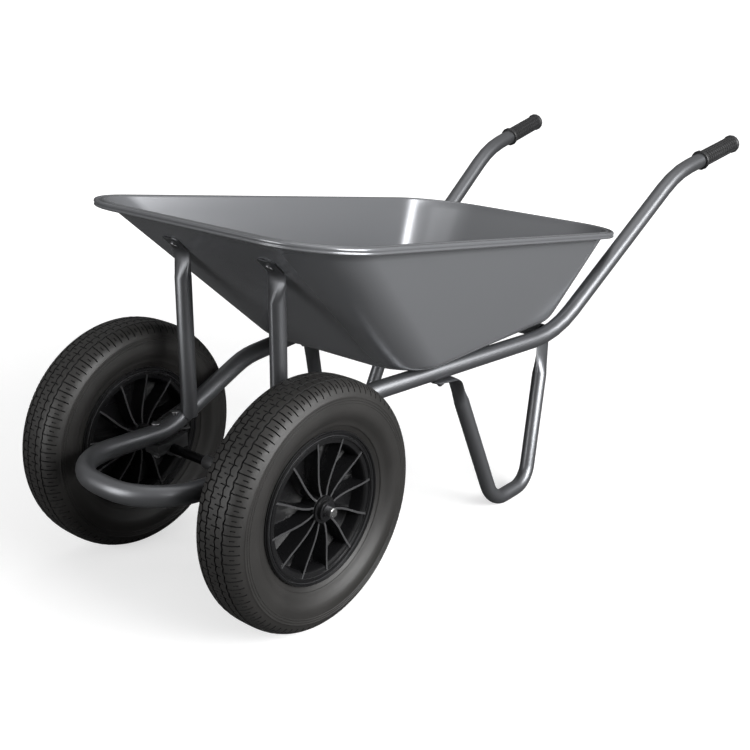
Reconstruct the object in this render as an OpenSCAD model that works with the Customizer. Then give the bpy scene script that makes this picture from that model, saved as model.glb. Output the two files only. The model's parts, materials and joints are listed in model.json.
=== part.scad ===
// Two wheel garden barrow: pressed steel tray on a bent tube frame, two spoked wheels on one dead axle.
// Frame: X forward towards the wheels, Y to the left, Z up, origin on the ground under the middle.

/* [Wheels] */
// Outside diameter of the tyre
tyre_d = 400; // [380:1:430]
// Width of the tyre
tyre_w = 94; // [88:1:100]
// Thickness of the tyre casing
tyre_wall = 7; // [5:0.5:9]
// Distance between the middles of the two wheels
track = 420; // [410:1:460]
// Diameter of the rim flanges
rim_flange_d = 244; // [238:1:256]
// Diameter of the seat that carries the tyre bead
rim_seat_d = 208; // [204:1:214]
// Inside diameter of the rim barrel
rim_bore_d = 199; // [194:1:201]
// Width of the rim over its flanges
rim_w = 67; // [62:1:72]
// Number of spokes in each of the two rows
spoke_count = 12; // [8:1:14]
// Thickness of a spoke blade
spoke_t = 3.2; // [2.4:0.2:4.5]

/* [Hub and axle] */
// Diameter of the axle rod
axle_d = 16; // [14:0.5:20]
// Length of the axle that stands out of each wheel hub
axle_proud = 16; // [14:0.5:24]
// Outside diameter of the moulded hub
hub_d = 43; // [38:1:50]
// Length of the hub with both bush flanges
hub_len = 74; // [70:1:80]
// Diameter of the bush that runs on the axle
bush_d = 23; // [22:0.5:28]
// Outside diameter of the spacer sleeves and of the axle coupling
sleeve_d = 24; // [22:0.5:28]
// Length of the coupling in the middle of the axle
coupling_len = 34; // [26:1:44]

/* [Frame tubes] */
// Diameter of the main frame tube
tube_d = 32; // [30:0.5:35]
// Wall of the frame tubes
tube_wall = 1.8; // [1.4:0.1:2.4]
// Height of the main tube's middle under the tray
run_z = 298; // [290:1:310]
// Clear gap between the tyre and the main tube at the axle
side_gap = 32; // [26:1:40]
// Distance from the axle forward to the tip of the nose loop's middle line
nose_reach = 216; // [200:1:240]
// Narrowing of the frame from the axle to the corners of the nose loop, each side
nose_taper = 9; // [4:1:14]
// Rise of the nose loop from the axle to its tip
nose_rise = 12; // [6:1:18]
// Width of the nose loop's tube round its bend
nose_oval_w = 30; // [27:0.5:33]
// Height of the nose loop's tube round its bend
nose_oval_h = 34; // [30:0.5:36]
// Straight length across the front of the nose loop
nose_flat = 16; // [10:1:40]
// Distance behind the axle where the tube drops to the nose
front_bend_back = 212; // [205:1:225]
// Distance behind the axle where the tube rises to the handle
lower_bend_back = 705; // [695:1:725]
// Half distance between the tubes at that bend
lower_bend_half = 205; // [200:1:212]
// Distance behind the axle where the handle levels out
upper_bend_back = 1108; // [1095:1:1125]
// Half distance between the tubes at that bend
upper_bend_half = 237; // [230:1:245]
// Height of that bend
upper_bend_z = 561; // [545:1:575]
// Distance behind the axle of the grip end
grip_back = 1340; // [1320:1:1365]
// Half distance between the grip ends
grip_half = 256; // [248:1:266]
// Height of the grip end
grip_z = 600; // [585:1:615]
// Diameter of the stay and leg tubes
brace_d = 28; // [25:0.5:30]

/* [Tray] */
// Thickness of the tray sheet
sheet = 1.5; // [1.2:0.1:2.5]
// Distance of the rim's front edge ahead of the axle
rim_front = 47; // [35:1:60]
// Distance of the rim's rear edge behind the axle
rim_back = 916; // [900:1:930]
// Half width of the rim at the front
rim_half_front = 282; // [272:1:292]
// Half width of the rim at the rear
rim_half_rear = 258; // [248:1:268]
// Height of the rim's top at the front
rim_z_front = 612; // [600:1:630]
// Height of the rim's top at the rear
rim_z_rear = 471; // [460:1:485]
// Corner radius of the rim at the front
rim_r_front = 118; // [100:1:130]
// Corner radius of the rim at the rear
rim_r_rear = 135; // [110:1:145]
// Width of the turned-out lip
lip_w = 16; // [12:1:22]
// Depth of the lip's turned-down edge
lip_drop = 12; // [9:0.5:16]
// Distance of the floor's front corner line behind the axle
floor_front = 276; // [268:1:286]
// Distance of the floor's rear corner line behind the axle
floor_back = 768; // [752:1:785]
// Distance from the leg bolts out to the floor's side corner line
floor_side = 25; // [24:1:32]
// Corner radius of the floor in plan
floor_r = 88; // [70:1:100]
// Length over which the floor rounds into the side walls
floor_round = 22; // [16:1:26]
// Length over which the floor rounds into the front and rear walls
end_round = 40; // [24:1:50]

/* [Legs] */
// Half distance between the feet
foot_half = 214; // [206:1:222]
// Distance behind the axle of the foot's front bend
foot_front = 505; // [495:1:520]
// Distance behind the axle of the foot's rear bend
foot_rear = 618; // [605:1:632]
// Distance behind the axle where the leg's front member meets the main tube
leg_front_back = 419; // [412:1:430]
// Distance behind the axle where the leg's rear member meets the main tube
leg_rear_back = 697; // [688:1:705]
// Bend radius of the foot
foot_bend_r = 50; // [44:1:54]

/* [Grips] */
// Length of the grip
grip_len = 140; // [120:1:160]
// Diameter of the grip
grip_d = 36; // [34.5:0.5:40]
// Diameter of the grip's inner flange
grip_flange_d = 43; // [40:0.5:48]

/* [Bolts] */
// Diameter of the frame bolts
bolt_d = 8; // [6:0.5:9]

/* [Hidden] */
$fn = 64;

// Fits
run_fit = 0.05;
hole_fit = 0.2;
slip_fit = 0.1;
end_play = 0.4;
seat_gap = 0.5;
weld_gap = 0.5;
over = 1;

// Overall place: the ground point under the middle of the whole length is the origin
nose_tip = nose_reach + nose_oval_w / 2;
grip_dir = unit([-grip_back + upper_bend_back, grip_half - upper_bend_half, grip_z - upper_bend_z]);
grip_cap_d = 40;
cap_round = 3;
grip_tail = grip_back + (grip_cap_d / 2 - cap_round) * sqrt(1 - grip_dir[0] * grip_dir[0]);
axle_x = (grip_tail - nose_tip) / 2;
axle_z = tyre_d / 2;
wheel_y = track / 2;
axle_r = axle_d / 2;
tube_r = tube_d / 2;
brace_r = brace_d / 2;
side_half = wheel_y - tyre_w / 2 - side_gap - tube_r;
nose_half = side_half - nose_taper;
nose_bend_r = nose_half - nose_flat / 2;

// Main tube corner points, left side
saddle_t = 4;
nose_z = axle_z + axle_r + saddle_t + tube_r;
side_slope = (lower_bend_half - side_half) / lower_bend_back;
function side_y(back) = side_half + side_slope * back;
v_nose = [nose_reach, nose_half, nose_z + nose_rise];
v_axle = [0, side_half, nose_z];
v_front = [-front_bend_back, side_y(front_bend_back), run_z];
v_lower = [-lower_bend_back, lower_bend_half, run_z];
v_upper = [-upper_bend_back, upper_bend_half, upper_bend_z];
v_grip = [-grip_back, grip_half, grip_z];
axle_bend_r = 120;
front_bend_r = 180;
lower_bend_r = 220;
upper_bend_r = 250;
joint_gap = 40;
spigot_len = 60;
shoulder = 2;
spigot_fit = 0.2;
grip_end_t = 4;
v_joint = v_axle + unit(v_front - v_axle) * joint_gap;

// Tray walls
floor_z = run_z + tube_r;
wall_front = rim_front - lip_w;
wall_back = rim_back - lip_w;
wall_top_z = rim_z(wall_front) - sheet;
front_rake = (wall_front + floor_front) / (wall_top_z - floor_z);

// Smoothness of the swept tubes
tube_sides = 20;
turn_step = 9;

colour_steel = [0.42, 0.43, 0.45];
colour_zinc = [0.75, 0.76, 0.78];
colour_plastic = [0.07, 0.07, 0.08];
colour_rubber = [0.12, 0.12, 0.12];

// Vector helpers
function unit(v) = v / norm(v);
function flip(p) = [p[0], -p[1], p[2]];
function half_angle(a, c, b) = acos(unit(a - c) * unit(b - c)) / 2;

// Points, directions and section half sizes round a corner; a corner without a radius is one station
function corner(a, c, b, r, s) = r == 0 ? [[c, unit(unit(c - a) + unit(b - c)), s]] :
    let (u = unit(a - c), h = half_angle(a, c, b), turn = 180 - 2 * h,
         m = c + unit(unit(a - c) + unit(b - c)) * r / sin(h),
         x = unit(c + u * r / tan(h) - m), n = max(2, ceil(turn / turn_step)))
    [for (k = [0 : n]) let (w = turn * k / n) [m + r * (x * cos(w) - u * sin(w)), -x * sin(w) - u * cos(w), s]];

// A path of straight runs and corners; each stop gives its point, bend radius and section half sizes
function bent_path(stops) =
    let (last = len(stops) - 1)
    concat([[stops[0][0], unit(stops[1][0] - stops[0][0]), stops[0][2]]],
           [for (i = [1 : last - 1])
               each corner(stops[i - 1][0], stops[i][0], stops[i + 1][0], stops[i][1], stops[i][2])],
           [[stops[last][0], unit(stops[last][0] - stops[last - 1][0]), stops[last][2]]]);

function disc(d) = [d / 2, d / 2];

function ring_at(step, grow, ref) =
    let (t = step[1], a = unit(cross(ref, t)), b = cross(t, a), s = step[2])
    [for (k = [0 : tube_sides - 1]) let (w = 360 * k / tube_sides)
        step[0] + a * (s[0] + grow) * cos(w) + b * (s[1] + grow) * sin(w)];

// Wall faces between neighbouring rings of n points; first is the index of the first ring's first point
function band(first, n, rings, out) =
    [for (i = [0 : rings - 2], k = [0 : n - 1])
        let (p = first + i * n + k, q = first + i * n + (k + 1) % n)
        each (out ? [[p, q, q + n], [p, q + n, p + n]] : [[p, q + n, q], [p, p + n, q + n]])];

function end_faces(a, b, n, out) =
    [for (k = [0 : n - 1]) let (j = (k + 1) % n)
        each (out ? [[a + k, b + j, a + j], [a + k, b + k, b + j]]
                  : [[a + k, a + j, b + j], [a + k, b + j, b + k]])];

// Open tube along a path
module swept_tube(path, wall, ref) {
    n = tube_sides;
    m = len(path);
    pts = concat([for (s = path) each ring_at(s, 0, ref)], [for (s = path) each ring_at(s, -wall, ref)]);
    polyhedron(pts, concat(band(0, n, m, true), band(m * n, n, m, false),
                           end_faces(0, m * n, n, true), end_faces((m - 1) * n, (2 * m - 1) * n, n, false)),
               convexity = 8);
}

// Stands children on a point with their Z axis along a direction
module aim(p, d) {
    translate(p) rotate([0, acos(d[2] / norm(d)), atan2(d[1], d[0])]) children();
}

module at_axle() {
    translate([axle_x, 0, 0]) children();
}

module both_sides() {
    children();
    mirror([0, 1, 0]) children();
}

// Main frame: two side tubes with the handles, joined to a nose loop in front of the axle
main_section = disc(tube_d);
side_path = bent_path([[v_joint, 0, main_section], [v_front, front_bend_r, main_section],
                       [v_lower, lower_bend_r, main_section], [v_upper, upper_bend_r, main_section],
                       [v_grip - unit(v_grip - v_upper) * grip_end_t, 0, main_section]]);

module side_tube() {
    difference() {
        swept_tube(side_path, tube_wall, [0, 1, 0]);
        leg_bolt_place() bolt_hole(tube_d + 2 * over, run_z - tube_r - over);
    }
}

module left_side_tube() {
    color(colour_steel) at_axle() side_tube();
}

module right_side_tube() {
    color(colour_steel) at_axle() mirror([0, 1, 0]) side_tube();
}

// The loop goes slightly oval round its bend; its ends are drawn down to spigots inside the side tubes
steep = unit(v_front - v_axle);
spigot_d = tube_d - 2 * tube_wall - 2 * spigot_fit;
loop_half = [[v_joint + steep * spigot_len, 0, disc(spigot_d)], [v_joint, 0, disc(spigot_d)],
             [v_joint - steep * shoulder, 0, main_section], [v_axle, axle_bend_r, main_section],
             [v_nose, nose_bend_r, [nose_oval_w / 2, nose_oval_h / 2]]];
loop_path = bent_path(concat(loop_half, [for (i = [len(loop_half) - 1 : -1 : 0])
                                            [flip(loop_half[i][0]), loop_half[i][1], loop_half[i][2]]]));

// Middle and lowest line of the main tube's bend over the axle
bend_half = half_angle(v_nose, v_axle, v_front);
bend_way = unit(unit(v_nose - v_axle) + unit(v_front - v_axle));
bend_mid = v_axle + bend_way * axle_bend_r / sin(bend_half);
bend_normal = unit(cross(v_nose - v_axle, v_front - v_axle));
bend_low = bend_mid[2] - axle_bend_r * sqrt(1 - bend_normal[2] * bend_normal[2]) - tube_r;

module nose_loop() {
    color(colour_steel) at_axle() difference() {
        swept_tube(loop_path, tube_wall, [0, 0, 1]);
        both_sides() axle_bolt_places() bolt_hole(bolt_reach, axle_z);
    }
}

// Stays from the main tube up to the tray's front wall, with flattened and bent tops
stay_back = 46;
stay_in = 14;
stay_y = side_y(stay_back) - stay_in;
stay_foot_z = nose_z + (run_z - nose_z) * stay_back / front_bend_back;
stay_bolt_z = 546;
tab_w = 38;
tab_t = 5;
tab_bend_r = 20;
tab_run = 14;
tab_blend = 30;
tab_end_share = 0.6;
flat_tab = [tab_t / 2, tab_w / 2];
wall_dir = unit([front_rake, 0, 1]);
wall_out = unit([1, 0, -front_rake]);
wall_tilt = atan2(wall_dir[0], wall_dir[2]);
stay_bolt_at = [wall_front - front_rake * (wall_top_z - stay_bolt_z), stay_y, stay_bolt_z];
tab_mid = stay_bolt_at + wall_out * (tab_t / 2 + slip_fit);
tab_bend = tab_mid - wall_dir * (tab_mid[0] + stay_back) / wall_dir[0];
stay_path = bent_path([[[-stay_back, stay_y, stay_foot_z], 0, disc(brace_d)],
                       [tab_bend - [0, 0, tab_run + tab_blend], 0, disc(brace_d)],
                       [tab_bend - [0, 0, tab_run], 0, flat_tab], [tab_bend, tab_bend_r, flat_tab],
                       [tab_mid + wall_dir * (tab_w / 2 - tab_t), 0, flat_tab],
                       [tab_mid + wall_dir * tab_w / 2, 0, [tab_t / 2, tab_w / 2 * tab_end_share]]]);

module stay() {
    difference() {
        swept_tube(stay_path, tube_wall, [0, 1, 0]);
        aim(v_joint - steep * tube_d, steep) cylinder(d = tube_d, h = 4 * tube_d);
        stay_bolt_place() bolt_hole(tab_t + 2 * over, -over);
    }
}

module left_stay() {
    color(colour_steel) at_axle() stay();
}

module right_stay() {
    color(colour_steel) at_axle() mirror([0, 1, 0]) stay();
}

// Local Z points out of the tray's front wall
module stay_bolt_place() {
    translate(stay_bolt_at) rotate([0, wall_tilt + 90, 0]) children();
}

// Legs: one bent tube a side, its front top flattened under the main tube and its rear top flattened inside it
leg_tab_t = 5;
leg_tab_w = 38;
leg_bolt_back = 391;
leg_splay = 6;
leg_bend_r = 14;
leg_run = 14;
leg_blend = 38;
tongue_t = 5;
tongue_w = 36;
tongue_low = 46;
tongue_top = 8;
leg_ref = unit([side_slope, 1, 0]);
along = unit([-1, side_slope, 0]);
leg_top_z = run_z - tube_r - slip_fit - leg_tab_t;
leg_bolt_y = side_y(leg_bolt_back);
tab_z = leg_top_z + leg_tab_t / 2;
leg_front_top = [-leg_front_back, side_y(leg_front_back) + leg_splay, tab_z];
leg_bolt_top = [-leg_bolt_back, leg_bolt_y, tab_z];
tab_way = unit(leg_bolt_top - leg_front_top);
foot_front_at = [-foot_front, foot_half, brace_r];
foot_rear_at = [-foot_rear, foot_half, brace_r];
down_way = unit(foot_front_at - leg_front_top);
tongue_at = [-leg_rear_back, side_y(leg_rear_back), run_z] - leg_ref * (tube_r + tongue_t / 2 + weld_gap);
leg_rear_top = tongue_at - [0, 0, tongue_low];
up_way = unit(leg_rear_top - foot_rear_at);
leg_flat = [leg_tab_t / 2, leg_tab_w / 2];
tongue_flat = [tongue_w / 2, tongue_t / 2];
leg_tip = [leg_tab_t / 2, leg_tab_w / 2 * tab_end_share];
leg_path = bent_path([[leg_bolt_top + tab_way * leg_tab_w / 2, 0, leg_tip],
                      [leg_bolt_top + tab_way * (leg_tab_w / 2 - leg_tab_t), 0, leg_flat],
                      [leg_front_top, leg_bend_r, leg_flat],
                      [leg_front_top + down_way * leg_run, 0, leg_flat],
                      [leg_front_top + down_way * (leg_run + leg_blend), 0, disc(brace_d)],
                      [foot_front_at, foot_bend_r, disc(brace_d)], [foot_rear_at, foot_bend_r, disc(brace_d)],
                      [leg_rear_top - up_way * leg_blend, 0, disc(brace_d)],
                      [leg_rear_top, 0, tongue_flat], [tongue_at + [0, 0, tongue_top], 0, tongue_flat]]);

module leg_bolt_place() {
    translate([-leg_bolt_back, leg_bolt_y, 0]) children();
}

module leg() {
    difference() {
        swept_tube(leg_path, tube_wall, leg_ref);
        leg_bolt_place() bolt_hole(leg_tab_t + 2 * over, leg_top_z - over);
    }
}

module left_leg() {
    color(colour_steel) at_axle() leg();
}

module right_leg() {
    color(colour_steel) at_axle() mirror([0, 1, 0]) leg();
}

// Cross tube between the rear tops of the legs, under the tray floor
cross_end = tongue_at - leg_ref * (tongue_t / 2 + slip_fit);
cross_bolt_share = 0.47;
cross_z = floor_z - brace_r;

module cross_bolt_places() {
    both_sides() translate([-leg_rear_back, floor_half * cross_bolt_share, 0]) children();
}

// Plan of the space between the tongues, which are in line with the spread main tubes
module between_tongues() {
    a = cross_end + along * brace_d;
    b = cross_end - along * brace_d;
    translate([0, 0, cross_z - brace_d]) linear_extrude(2 * brace_d)
        polygon([[a[0], a[1]], [b[0], b[1]], [b[0], -b[1]], [a[0], -a[1]]]);
}

module leg_cross_tube() {
    color(colour_steel) at_axle() difference() {
        intersection() {
            translate([-leg_rear_back, -lower_bend_half, cross_z]) rotate([-90, 0, 0])
                ring(brace_d, brace_d - 2 * tube_wall, 2 * lower_bend_half);
            between_tongues();
        }
        cross_bolt_places() bolt_hole(brace_d + 2 * over, floor_z - brace_d - over);
    }
}

// Tray: a lofted shell with a rounded floor edge, four raked walls and a turned-out, turned-down lip
corner_steps = 8;
round_steps = 5;
skin_share = 0.6;
lip_r = 4;
lip_flare = 1;

function plan_arc(c, r, a0, in) =
    [for (k = [0 : corner_steps]) let (w = a0 + 90 * k / corner_steps)
        [c[0] + (r - in[0]) * cos(w), c[1] + (r - in[1]) * sin(w)]];

// Rounded four-sided outline in plan, drawn in lengthwise and sideways
function plan(front, back, half_f, half_r, rf, rr, in) = concat(
    plan_arc([front - rf, half_f - rf], rf, 0, in),
    plan_arc([-back + rr, half_r - rr], rr, 90, in),
    plan_arc([-back + rr, -half_r + rr], rr, 180, in),
    plan_arc([front - rf, -half_f + rf], rf, 270, in));

function rim_z(x) = rim_z_rear + (rim_z_front - rim_z_rear) * (x + rim_back) / (rim_front + rim_back);
function level(xy, z) = [for (p = xy) [p[0], p[1], z]];
function on_rim(xy, drop) = [for (p = xy) [p[0], p[1], rim_z(p[0]) - drop]];

// Outline at the wall's top, grown outward by g
function rim_plan(g) = plan(wall_front, wall_back, rim_half_front - lip_w, rim_half_rear - lip_w,
                            rim_r_front - lip_w, rim_r_rear - lip_w, [-g, -g]);
// Outline of the floor's corner line, drawn in lengthwise and sideways
floor_half = leg_bolt_y + floor_side;
function floor_plan(in) = plan(-floor_front, floor_back, floor_half, floor_half, floor_r, floor_r, in);

// Rings up one side of the sheet: flat floor edge, rounded foot, wall
function wall_rings(floor_in, rim_in, z, drop) =
    let (f = level(floor_plan([floor_in, floor_in]), z),
         a = level(floor_plan([floor_in + end_round, floor_in + floor_round]), z),
         w = on_rim(rim_plan(-rim_in), drop), last = len(f) - 1)
    concat([for (k = [0 : round_steps]) let (s = k / round_steps)
               [for (i = [0 : last]) let (b = f[i] + unit(w[i] - f[i]) * norm(a[i] - f[i]))
                   a[i] * (1 - s) * (1 - s) + f[i] * 2 * s * (1 - s) + b * s * s]], [w]);

lip_turn = [for (k = [0 : 3]) 30 * k];
lip_out = [for (w = lip_turn) [lip_w - lip_r + lip_r * cos(w), lip_r - lip_r * sin(w)]];
lip_in = [for (k = [3 : -1 : 0]) let (w = lip_turn[k], r = lip_r - sheet)
             [lip_w - lip_r + r * cos(w), lip_r - r * sin(w)]];
lip_edge = concat(lip_in, [[lip_w - sheet + lip_flare, lip_drop], [lip_w + lip_flare, lip_drop]], lip_out);

module tray_shell() {
    outer = wall_rings(0, 0, floor_z, sheet);
    inner = wall_rings(sheet / 2, sheet * skin_share, floor_z + sheet, 0);
    lip = [for (p = lip_edge) on_rim(rim_plan(p[0]), p[1])];
    inner_down = [for (i = [len(inner) - 1 : -1 : 0]) inner[i]];
    rings = concat(outer, lip, inner_down);
    n = len(outer[0]);
    m = len(rings);
    pts = [for (r = rings) each r];
    caps = [[for (k = [n - 1 : -1 : 0]) k], [for (k = [0 : n - 1]) (m - 1) * n + k]];
    polyhedron(pts, concat(band(0, n, m, true), caps), convexity = 10);
}

module tray() {
    color(colour_steel) at_axle() difference() {
        tray_shell();
        both_sides() leg_bolt_place() bolt_hole(sheet + 2 * over, floor_z - over);
        cross_bolt_places() bolt_hole(sheet + 2 * over, floor_z - over);
        both_sides() stay_bolt_place() bolt_hole(4 * sheet, -3 * sheet);
    }
}

// Bolts and nuts
head_share = 1.8;
head_t_share = 0.5;
nut_share = 1.7;
nut_t_share = 0.8;
tip_share = 0.35;
head_d = head_share * bolt_d;
head_t = head_t_share * bolt_d;
nut_d = nut_share * bolt_d;
nut_t = nut_t_share * bolt_d;
tip = tip_share * bolt_d;
bolt_span = 21;
bolt_reach = nose_z + tube_d - axle_z;

module bolt_hole(h, z) {
    translate([0, 0, z]) cylinder(d = bolt_d + 2 * hole_fit, h = h);
}

// Domed bolt from its head seat at z1 down to z0
module bolt(z0, z1) {
    translate([0, 0, z0]) cylinder(d = bolt_d, h = z1 - z0 + head_t / 2);
    translate([0, 0, z1]) intersection() {
        cylinder(d = head_d, h = head_t);
        translate([0, 0, head_t - head_d]) sphere(r = head_d);
    }
}

module nut(z) {
    translate([0, 0, z - nut_t]) difference() {
        cylinder(d = nut_d, h = nut_t, $fn = 6);
        translate([0, 0, -over]) cylinder(d = bolt_d, h = nut_t + 2 * over);
    }
}

module axle_bolt_places() {
    for (x = [-bolt_span, bolt_span]) translate([x, side_half, 0]) children();
}

// Height of a bolt head on the main tube's top, ahead of the axle or behind it
function tube_slope(x) = x > 0 ? nose_rise / nose_reach : (run_z - nose_z) / front_bend_back;
function head_seat(x) = let (m = tube_slope(x))
    nose_z + m * abs(x) + tube_r * sqrt(1 + m * m) + m * head_d / 2 + slip_fit;
strap_t = 5;
strap_z = axle_z - strap_t;

module axle_bolts() {
    color(colour_zinc) at_axle() both_sides() for (x = [-bolt_span, bolt_span]) translate([x, side_half, 0])
        bolt(strap_z - nut_t - tip, head_seat(x));
}

module axle_nuts() {
    color(colour_zinc) at_axle() both_sides() axle_bolt_places() nut(strap_z);
}

module stay_bolts() {
    color(colour_zinc) at_axle() both_sides() stay_bolt_place()
        bolt(-sheet - hole_fit - nut_t - tip, tab_t + 2 * slip_fit);
}

module stay_nuts() {
    color(colour_zinc) at_axle() both_sides() stay_bolt_place() nut(-sheet - hole_fit);
}

module leg_bolts() {
    color(colour_zinc) at_axle() both_sides() leg_bolt_place()
        bolt(leg_top_z - nut_t - tip, floor_z + sheet + seat_gap);
}

module leg_nuts() {
    color(colour_zinc) at_axle() both_sides() leg_bolt_place() nut(leg_top_z);
}

module cross_bolts() {
    color(colour_zinc) at_axle() cross_bolt_places() bolt(floor_z - brace_d - nut_t - tip, floor_z + sheet);
}

module cross_nuts() {
    color(colour_zinc) at_axle() cross_bolt_places() nut(floor_z - brace_d);
}

// Axle clamp under each main tube: a saddle above and a strap below
clamp_w = 34;
clamp_ear = 11;
clamp_len = 2 * (bolt_span + clamp_ear);
saddle_hug_share = 0.33;
saddle_top = nose_z - tube_r * saddle_hug_share;
valley_r = 200;

module axle_saddle() {
    difference() {
        translate([-clamp_len / 2, side_half - clamp_w / 2, axle_z])
            cube([clamp_len, clamp_w, saddle_top - axle_z]);
        translate([bend_mid[0], side_half - clamp_w, bend_low + valley_r - slip_fit]) rotate([-90, 0, 0])
            cylinder(r = valley_r, h = 2 * clamp_w, $fn = 360);
        translate([0, side_half - clamp_w, axle_z]) rotate([-90, 0, 0]) cylinder(d = axle_d, h = 2 * clamp_w);
        axle_bolt_places() bolt_hole(bolt_reach, axle_z - over);
    }
}

module left_axle_saddle() {
    color(colour_steel) at_axle() axle_saddle();
}

module right_axle_saddle() {
    color(colour_steel) at_axle() mirror([0, 1, 0]) axle_saddle();
}

module axle_strap() {
    difference() {
        union() {
            translate([-clamp_len / 2, side_half - clamp_w / 2, strap_z]) cube([clamp_len, clamp_w, strap_t]);
            intersection() {
                translate([0, side_half - clamp_w / 2, axle_z]) rotate([-90, 0, 0])
                    cylinder(d = axle_d + 2 * strap_t, h = clamp_w);
                translate([-clamp_len / 2, side_half - clamp_w, strap_z - tube_d])
                    cube([clamp_len, 2 * clamp_w, tube_d]);
            }
        }
        translate([0, side_half - clamp_w, axle_z]) rotate([-90, 0, 0]) cylinder(d = axle_d, h = 2 * clamp_w);
        axle_bolt_places() bolt_hole(strap_t + 2 * over, strap_z - over);
    }
}

module left_axle_strap() {
    color(colour_steel) at_axle() axle_strap();
}

module right_axle_strap() {
    color(colour_steel) at_axle() mirror([0, 1, 0]) axle_strap();
}

// Dead axle with a circlip groove near each end
washer_t = 2.5;
washer_d = 32;
clip_t = 1.6;
clip_depth = 1.2;
clip_d = axle_d + 7;
hub_end = wheel_y + hub_len / 2;
washer_y = hub_end + end_play;
clip_y = washer_y + washer_t + slip_fit;
axle_half = hub_end + axle_proud;
axle_chamfer = 1.5;

module on_axle(y) {
    translate([0, y, axle_z]) rotate([-90, 0, 0]) children();
}

module ring(d, bore, h) {
    difference() {
        cylinder(d = d, h = h);
        translate([0, 0, -over]) cylinder(d = bore, h = h + 2 * over);
    }
}

module axle() {
    r = axle_r;
    g = axle_r - clip_depth;
    y = clip_y;
    end = axle_half;
    ends = [[0, end], [r - axle_chamfer, end], [r, end - axle_chamfer], [r, y + clip_t + slip_fit],
            [g, y + clip_t + slip_fit], [g, y], [r, y]];
    color(colour_zinc) at_axle() on_axle(0) rotate_extrude()
        polygon(concat(ends, [for (i = [len(ends) - 1 : -1 : 0]) [ends[i][0], -ends[i][1]]]));
}

module axle_coupling() {
    color(colour_steel) at_axle() on_axle(-coupling_len / 2) ring(sleeve_d, axle_d + 2 * run_fit, coupling_len);
}

spacer_from = side_half + clamp_w / 2;
spacer_to = wheel_y - hub_len / 2 - end_play;

module left_spacer() {
    color(colour_zinc) at_axle() on_axle(spacer_from)
        ring(sleeve_d, axle_d + 2 * run_fit, spacer_to - spacer_from);
}

module right_spacer() {
    color(colour_zinc) at_axle() mirror([0, 1, 0]) on_axle(spacer_from)
        ring(sleeve_d, axle_d + 2 * run_fit, spacer_to - spacer_from);
}

module axle_washers() {
    color(colour_zinc) at_axle() both_sides() on_axle(washer_y) ring(washer_d, axle_d + 2 * hole_fit, washer_t);
}

module axle_circlips() {
    color(colour_zinc) at_axle() both_sides() on_axle(clip_y) difference() {
        ring(clip_d, axle_d - 2 * clip_depth + 2 * run_fit, clip_t);
        translate([0, -axle_r / 2, -over]) cube([clip_d, axle_r, clip_t + 2 * over]);
    }
}

// Grips: moulded sleeves with an inner flange, rings of grooves and a closed, rounded end
groove_count = 12;
groove_depth = 0.8;
land_share = 0.5;
groove_share = 0.58;
edge_share = 0.16;
grip_flange_t = 7;
grip_cap_t = 8;

module grip() {
    r = grip_d / 2;
    bore = tube_r + run_fit;
    from = grip_flange_t + cap_round;
    pitch = (grip_len - grip_flange_t - grip_cap_t - 2 * cap_round) / groove_count;
    low = r - groove_depth;
    grooves = [for (k = [0 : groove_count - 1])
        each [[r, from + pitch * k], [r, from + pitch * (k + land_share)], [low, from + pitch * (k + groove_share)],
              [low, from + pitch * (k + land_share + groove_share - edge_share)]]];
    end = grip_len;
    outline = concat([[bore, 0], [grip_flange_d / 2 - cap_round, 0], [grip_flange_d / 2, cap_round],
                      [grip_flange_d / 2, grip_flange_t], [r, grip_flange_t]], grooves,
                     [[r, end - grip_cap_t - cap_round], [grip_cap_d / 2, end - grip_cap_t],
                      [grip_cap_d / 2, end - cap_round],
                      [grip_cap_d / 2 - cap_round, end], [0, end], [0, end - grip_end_t],
                      [bore, end - grip_end_t]]);
    aim(v_grip, v_upper - v_grip) translate([0, 0, grip_len]) mirror([0, 0, 1])
        rotate_extrude() polygon(outline);
}

module left_grip() {
    color(colour_plastic) at_axle() grip();
}

module right_grip() {
    color(colour_plastic) at_axle() mirror([0, 1, 0]) grip();
}

// Wheel pieces, drawn on Z with the outer face up
tyre_r = tyre_d / 2;
flange_r = rim_flange_d / 2;
seat_r = rim_seat_d / 2;
bore_r = rim_bore_d / 2;
flange_t = 8;
flange_round = 3;
bead_t = rim_w / 2 - flange_t;
side_r = seat_r + (tyre_r - seat_r) / 2;
crown_power_share = 0.62;
tyre_steps = 12;

module on_wheel() {
    translate([0, wheel_y, axle_z]) rotate([-90, 0, 0]) children();
}

// Half section of the tyre's outside, from the rim flange round the side wall to the crown
function side_curve(w, r_top, steps) =
    [for (k = [0 : steps]) let (a = 90 * k / steps)
        [side_r + (r_top - side_r) * pow(sin(a), crown_power_share), w / 2 * pow(cos(a), crown_power_share)]];

groove_shares = [-0.48, 0, 0.48];
tread_groove_w = 4;
tread_groove_d = 3;

module tyre() {
    foot = [[seat_r, bead_t - slip_fit], [flange_r - flange_round, bead_t - slip_fit],
            [flange_r + flange_round, rim_w / 2 - flange_t / 2]];
    outer = concat(foot, side_curve(tyre_w, tyre_r, tyre_steps));
    hollow = tyre_hollow(0);
    section = concat(outer, [for (i = [len(outer) - 2 : -1 : 0]) [outer[i][0], -outer[i][1]]],
                     [for (i = [len(hollow) - 1 : -1 : 0]) hollow[i]]);
    difference() {
        rotate_extrude($fn = 96) polygon(section);
        for (s = groove_shares) translate([0, 0, s * tyre_w / 2 - tread_groove_w / 2])
            ring(2 * tyre_r + over, 2 * (tyre_r - tread_groove_d) - tyre_wall * abs(s), tread_groove_w);
    }
}

module left_tyre() {
    color(colour_rubber) at_axle() on_wheel() tyre();
}

module right_tyre() {
    color(colour_rubber) at_axle() mirror([0, 1, 0]) on_wheel() tyre();
}

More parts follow.
